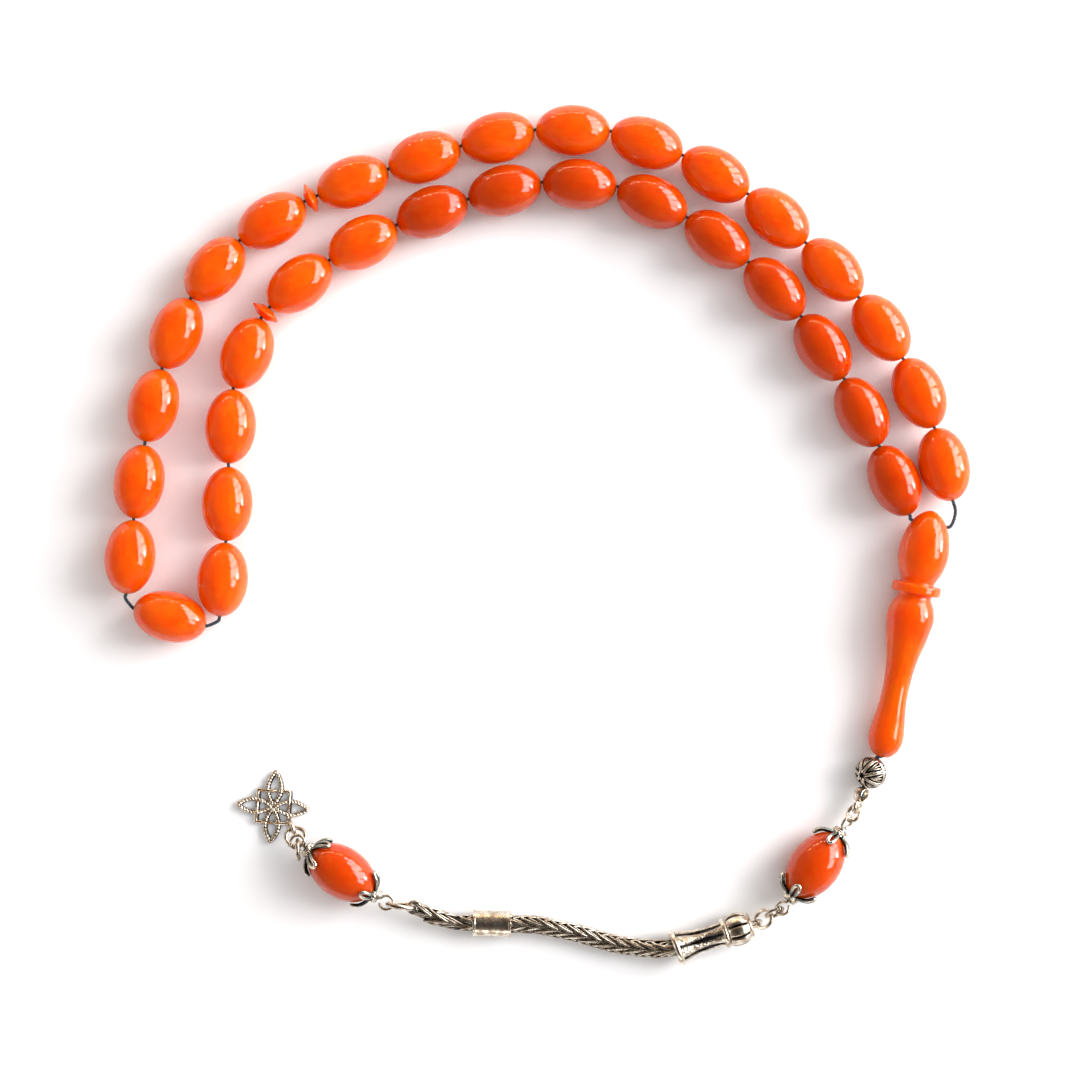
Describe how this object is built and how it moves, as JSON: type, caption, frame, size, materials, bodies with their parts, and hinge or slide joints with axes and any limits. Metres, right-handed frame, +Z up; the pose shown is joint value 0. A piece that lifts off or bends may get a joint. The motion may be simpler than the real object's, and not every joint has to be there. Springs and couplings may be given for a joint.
{
  "type": "misbaha prayer beads",
  "caption": "String of drilled oval prayer beads on a looped thread, with divider discs, a turned leader bead and a silver tassel of crown, chain, sliding barrel and pendant.",
  "frame": {"origin": "middle of the footprint, on the table the beads lie on", "axes": "+Z up from the table; +Y towards the top of the loop, opposite the tassel's chain; +X towards the leader bead"},
  "size_m": [0.1538, 0.1534, 0.0092],
  "materials": {
    "amber_resin": "polished translucent orange resin",
    "deep_amber_resin": "polished translucent red-orange resin",
    "oxidised_silver": "oxidised silver, dark in the recesses and bright on the high places",
    "navy_thread": "twisted dark navy beading thread"
  },
  "bodies": {
    "strand": {"cord_strand": "navy_thread"},
    "tip": {"cord_tip": "navy_thread"},
    "leader": {"leader": "amber_resin", "cord_tail": "navy_thread"},
    "filigree_ball": {"filigree_ball": "oxidised_silver"},
    "knot_cover": {"knot_cover": "oxidised_silver"},
    "link_upper": {"link_upper": "oxidised_silver"},
    "tassel_bead_upper": {"tassel_bead_upper": "amber_resin"},
    "link_lower": {"link_lower": "oxidised_silver"},
    "crown_ring": {"crown_ring": "oxidised_silver"},
    "crown": {"crown": "oxidised_silver"},
    "chain_fore": {"chain_fore": "oxidised_silver"},
    "slide_barrel": {"slide_barrel": "oxidised_silver"},
    "chain_aft": {"chain_aft": "oxidised_silver"},
    "end_ring": {"end_ring": "oxidised_silver"},
    "tassel_bead_lower": {"tassel_bead_lower": "amber_resin"},
    "jump_ring": {"jump_ring": "oxidised_silver"},
    "pendant_ring": {"pendant_ring": "oxidised_silver"},
    "pendant": {"pendant": "oxidised_silver"},
    "divider_outer": {"divider_outer": "deep_amber_resin"},
    "divider_inner": {"divider_inner": "deep_amber_resin"},
    "pin_upper": {"eye_pin_upper": "oxidised_silver", "cap_upper_near": "oxidised_silver", "cap_upper_far": "oxidised_silver"},
    "pin_lower": {"eye_pin_lower": "oxidised_silver", "cap_lower_near": "oxidised_silver", "cap_lower_far": "oxidised_silver"},
    "bead_01": {"bead_01": "amber_resin"},
    "bead_02": {"bead_02": "amber_resin"},
    "bead_03": {"bead_03": "amber_resin"},
    "bead_04": {"bead_04": "amber_resin"},
    "bead_05": {"bead_05": "amber_resin"},
    "bead_06": {"bead_06": "amber_resin"},
    "bead_07": {"bead_07": "amber_resin"},
    "bead_08": {"bead_08": "amber_resin"},
    "bead_09": {"bead_09": "amber_resin"},
    "bead_10": {"bead_10": "amber_resin"},
    "bead_11": {"bead_11": "amber_resin"},
    "bead_12": {"bead_12": "amber_resin"},
    "bead_13": {"bead_13": "amber_resin"},
    "bead_14": {"bead_14": "amber_resin"},
    "bead_15": {"bead_15": "amber_resin"},
    "bead_16": {"bead_16": "amber_resin"},
    "bead_17": {"bead_17": "amber_resin"},
    "bead_18": {"bead_18": "amber_resin"},
    "bead_19": {"bead_19": "amber_resin"},
    "bead_20": {"bead_20": "amber_resin"},
    "bead_21": {"bead_21": "amber_resin"},
    "bead_22": {"bead_22": "amber_resin"},
    "bead_23": {"bead_23": "amber_resin"},
    "bead_24": {"bead_24": "amber_resin"},
    "bead_25": {"bead_25": "amber_resin"},
    "bead_26": {"bead_26": "amber_resin"},
    "bead_27": {"bead_27": "amber_resin"},
    "bead_28": {"bead_28": "amber_resin"},
    "bead_29": {"bead_29": "amber_resin"},
    "bead_30": {"bead_30": "amber_resin"},
    "bead_31": {"bead_31": "amber_resin"},
    "bead_32": {"bead_32": "amber_resin"},
    "bead_33": {"bead_33": "amber_resin"}
  },
  "joints": [
    {"name": "leader_lift", "type": "hinge", "parent": "strand", "child": "leader", "pos_m": [0.06971, 0.00212, 0.00492], "axis": [0.981, -0.1942, 0], "range_deg": [-60, 0]},
    {"name": "tip_fold", "type": "hinge", "parent": "strand", "child": "tip", "pos_m": [-0.06982, 0.01655, 0.00455], "axis": [-0.9676, 0.2524, 0], "range_deg": [0, 30]},
    {"name": "barrel_slide", "type": "slide", "parent": "chain_fore", "child": "slide_barrel", "axis": [-0.9997, 0.0262, 0], "range_m": [-0.0035, 0.0015]},
    {"name": "cover_swing", "type": "hinge", "parent": "leader", "child": "knot_cover", "pos_m": [0.05791, -0.04614, 0.00296], "axis": [0.9336, -0.3584, 0], "range_deg": [-20, 20]},
    {"name": "link_upper_swing", "type": "hinge", "parent": "knot_cover", "child": "link_upper", "pos_m": [0.05669, -0.04887, 0.0035], "axis": [0.3856, -0.5327, -0.7534], "range_deg": [-25, 25]},
    {"name": "pin_upper_swing", "type": "hinge", "parent": "link_upper", "child": "pin_upper", "pos_m": [0.05549, -0.05061, 0.00412], "axis": [-0.6286, 0.446, -0.6371], "range_deg": [-25, 25]},
    {"name": "link_lower_swing", "type": "hinge", "parent": "pin_upper", "child": "link_lower", "pos_m": [0.04258, -0.06675, 0.0047], "axis": [0.2922, -0.748, 0.5959], "range_deg": [-25, 25]},
    {"name": "crown_ring_swing", "type": "hinge", "parent": "link_lower", "child": "crown_ring", "pos_m": [0.04101, -0.06785, 0.00408], "axis": [0.6476, -0.3038, -0.6988], "range_deg": [-25, 25]},
    {"name": "crown_swing", "type": "hinge", "parent": "crown_ring", "child": "crown", "pos_m": [0.03911, -0.06913, 0.00287], "axis": [-0.2581, 0.7754, -0.5763], "range_deg": [-25, 25]},
    {"name": "chain_fore_bend", "type": "hinge", "parent": "crown", "child": "chain_fore", "pos_m": [0.02457, -0.07352, 0.00348], "axis": [0, 0, 1], "range_deg": [-8, 8]},
    {"name": "chain_aft_bend", "type": "hinge", "parent": "chain_fore", "child": "chain_aft", "pos_m": [-0.01431, -0.06904, 0.00253], "axis": [0, 0, 1], "range_deg": [-20, 20]},
    {"name": "end_ring_swing", "type": "hinge", "parent": "chain_aft", "child": "end_ring", "pos_m": [-0.02299, -0.06603, 0.00363], "axis": [-0.1808, -0.9831, -0.0288], "range_deg": [-25, 25]},
    {"name": "pin_lower_swing", "type": "hinge", "parent": "end_ring", "child": "pin_lower", "pos_m": [-0.02662, -0.06539, 0.00428], "axis": [-0.0168, 0.0324, -0.9993], "range_deg": [-25, 25]},
    {"name": "jump_ring_swing", "type": "hinge", "parent": "pin_lower", "child": "jump_ring", "pos_m": [-0.04256, -0.05564, 0.00488], "axis": [0.9988, 0.0417, -0.0257], "range_deg": [-25, 25]},
    {"name": "pendant_ring_swing", "type": "hinge", "parent": "jump_ring", "child": "pendant_ring", "pos_m": [-0.04266, -0.0542, 0.00348], "axis": [0.0081, 0.3765, 0.9264], "range_deg": [-25, 25]},
    {"name": "pendant_swing", "type": "hinge", "parent": "pendant_ring", "child": "pendant", "pos_m": [-0.04375, -0.05216, 0.00266], "axis": [-0.9299, -0.3377, 0.1455], "range_deg": [-25, 25]},
    {"name": "bead_01_slide", "type": "slide", "parent": "strand", "child": "bead_01", "axis": [0.2404, -0.9707, 0], "range_m": [0, 0.0012]},
    {"name": "tassel_bead_upper_spin", "type": "hinge", "parent": "pin_upper", "child": "tassel_bead_upper", "pos_m": [0.04942, -0.05852, 0.00457], "axis": [-0.6081, -0.7925, 0.0451], "continuous": true},
    {"name": "tassel_bead_lower_spin", "type": "hinge", "parent": "pin_lower", "child": "tassel_bead_lower", "pos_m": [-0.03473, -0.05981, 0.0046], "axis": [-0.8237, 0.5661, 0.0322], "continuous": true},
    {"name": "filigree_ball_spin", "type": "hinge", "parent": "leader", "child": "filigree_ball", "pos_m": [0.05955, -0.04217, 0.00295], "axis": [-0.3905, -0.9199, -0.0373], "continuous": true},
    {"name": "divider_outer_spin", "type": "hinge", "parent": "strand", "child": "divider_outer", "pos_m": [-0.04027, 0.06014, 0.00455], "axis": [-0.9115, -0.4114, 0], "continuous": true},
    {"name": "divider_inner_spin", "type": "hinge", "parent": "strand", "child": "divider_inner", "pos_m": [-0.04838, 0.03982, 0.00455], "axis": [-0.6172, -0.7868, 0], "continuous": true},
    {"name": "bead_02_spin", "type": "hinge", "parent": "strand", "child": "bead_02", "pos_m": [0.06794, 0.02548, 0.00455], "axis": [-0.4142, 0.9102, 0], "continuous": true},
    {"name": "bead_03_spin", "type": "hinge", "parent": "strand", "child": "bead_03", "pos_m": [0.06118, 0.03709, 0.00455], "axis": [-0.5859, 0.8104, 0], "continuous": true},
    {"name": "bead_04_spin", "type": "hinge", "parent": "strand", "child": "bead_04", "pos_m": [0.05252, 0.04741, 0.00455], "axis": [-0.6966, 0.7174, 0], "continuous": true},
    {"name": "bead_05_spin", "type": "hinge", "parent": "strand", "child": "bead_05", "pos_m": [0.04266, 0.0566, 0.00455], "axis": [-0.7645, 0.6446, 0], "continuous": true},
    {"name": "bead_06_spin", "type": "hinge", "parent": "strand", "child": "bead_06", "pos_m": [0.03169, 0.0644, 0.00455], "axis": [-0.8596, 0.511, 0], "continuous": true},
    {"name": "bead_07_spin", "type": "hinge", "parent": "strand", "child": "bead_07", "pos_m": [0.01949, 0.07, 0.00455], "axis": [-0.9489, 0.3156, 0], "continuous": true},
    {"name": "bead_08_spin", "type": "hinge", "parent": "strand", "child": "bead_08", "pos_m": [0.00633, 0.07224, 0.00455], "axis": [-0.9999, 0.0169, 0], "continuous": true},
    {"name": "bead_09_spin", "type": "hinge", "parent": "strand", "child": "bead_09", "pos_m": [-0.00702, 0.0709, 0.00455], "axis": [-0.977, -0.213, 0], "continuous": true},
    {"name": "bead_10_spin", "type": "hinge", "parent": "strand", "child": "bead_10", "pos_m": [-0.02005, 0.06741, 0.00455], "axis": [-0.9537, -0.3007, 0], "continuous": true},
    {"name": "bead_11_spin", "type": "hinge", "parent": "strand", "child": "bead_11", "pos_m": [-0.03281, 0.06303, 0.00455], "axis": [-0.9365, -0.3506, 0], "continuous": true},
    {"name": "bead_12_spin", "type": "hinge", "parent": "strand", "child": "bead_12", "pos_m": [-0.0472, 0.05616, 0.00455], "axis": [-0.8562, -0.5167, 0], "continuous": true},
    {"name": "bead_13_spin", "type": "hinge", "parent": "strand", "child": "bead_13", "pos_m": [-0.05736, 0.04753, 0.00455], "axis": [-0.647, -0.7625, 0], "continuous": true},
    {"name": "bead_14_spin", "type": "hinge", "parent": "strand", "child": "bead_14", "pos_m": [-0.06425, 0.03611, 0.00455], "axis": [-0.3764, -0.9265, 0], "continuous": true},
    {"name": "bead_15_spin", "type": "hinge", "parent": "strand", "child": "bead_15", "pos_m": [-0.0683, 0.02328, 0.00455], "axis": [-0.2245, -0.9745, 0], "continuous": true},
    {"name": "bead_16_spin", "type": "hinge", "parent": "tip", "child": "bead_16", "pos_m": [-0.07084, 0.00972, 0.00455], "axis": [-0.1453, -0.9894, 0], "continuous": true},
    {"name": "bead_17_spin", "type": "hinge", "parent": "tip", "child": "bead_17", "pos_m": [-0.07246, -0.00367, 0.00455], "axis": [-0.0953, -0.9954, 0], "continuous": true},
    {"name": "bead_18_spin", "type": "hinge", "parent": "tip", "child": "bead_18", "pos_m": [-0.06533, -0.0143, 0.00455], "axis": [0.9716, -0.2368, 0], "continuous": true},
    {"name": "bead_19_spin", "type": "hinge", "parent": "tip", "child": "bead_19", "pos_m": [-0.05599, -0.0077, 0.00455], "axis": [-0.084, -0.9965, 0], "continuous": true},
    {"name": "bead_20_spin", "type": "hinge", "parent": "tip", "child": "bead_20", "pos_m": [-0.05516, 0.00577, 0.00455], "axis": [-0.0373, -0.9993, 0], "continuous": true},
    {"name": "bead_21_spin", "type": "hinge", "parent": "strand", "child": "bead_21", "pos_m": [-0.05456, 0.01955, 0.00455], "axis": [-0.0606, -0.9982, 0], "continuous": true},
    {"name": "bead_22_spin", "type": "hinge", "parent": "strand", "child": "bead_22", "pos_m": [-0.05166, 0.03257, 0.00455], "axis": [-0.3665, -0.9304, 0], "continuous": true},
    {"name": "bead_23_spin", "type": "hinge", "parent": "strand", "child": "bead_23", "pos_m": [-0.04232, 0.045, 0.00455], "axis": [-0.7868, -0.6172, 0], "continuous": true},
    {"name": "bead_24_spin", "type": "hinge", "parent": "strand", "child": "bead_24", "pos_m": [-0.03102, 0.05229, 0.00455], "axis": [-0.8855, -0.4646, 0], "continuous": true},
    {"name": "bead_25_spin", "type": "hinge", "parent": "strand", "child": "bead_25", "pos_m": [-0.01869, 0.05772, 0.00455], "axis": [-0.9404, -0.3401, 0], "continuous": true},
    {"name": "bead_26_spin", "type": "hinge", "parent": "strand", "child": "bead_26", "pos_m": [-0.00577, 0.06152, 0.00455], "axis": [-0.975, -0.2224, 0], "continuous": true},
    {"name": "bead_27_spin", "type": "hinge", "parent": "strand", "child": "bead_27", "pos_m": [0.00756, 0.06267, 0.00455], "axis": [-0.9984, 0.0568, 0], "continuous": true},
    {"name": "bead_28_spin", "type": "hinge", "parent": "strand", "child": "bead_28", "pos_m": [0.02047, 0.05953, 0.00455], "axis": [-0.914, 0.4058, 0], "continuous": true},
    {"name": "bead_29_spin", "type": "hinge", "parent": "strand", "child": "bead_29", "pos_m": [0.0321, 0.05282, 0.00455], "axis": [-0.8091, 0.5876, 0], "continuous": true},
    {"name": "bead_30_spin", "type": "hinge", "parent": "strand", "child": "bead_30", "pos_m": [0.04227, 0.04401, 0.00455], "axis": [-0.6972, 0.7169, 0], "continuous": true},
    {"name": "bead_31_spin", "type": "hinge", "parent": "strand", "child": "bead_31", "pos_m": [0.0508, 0.03361, 0.00455], "axis": [-0.5688, 0.8225, 0], "continuous": true},
    {"name": "bead_32_spin", "type": "hinge", "parent": "strand", "child": "bead_32", "pos_m": [0.05777, 0.02208, 0.00455], "axis": [-0.4608, 0.8875, 0], "continuous": true},
    {"name": "bead_33_spin", "type": "hinge", "parent": "strand", "child": "bead_33", "pos_m": [0.06358, 0.0099, 0.00455], "axis": [-0.4048, 0.9144, 0], "continuous": true}
  ]
}
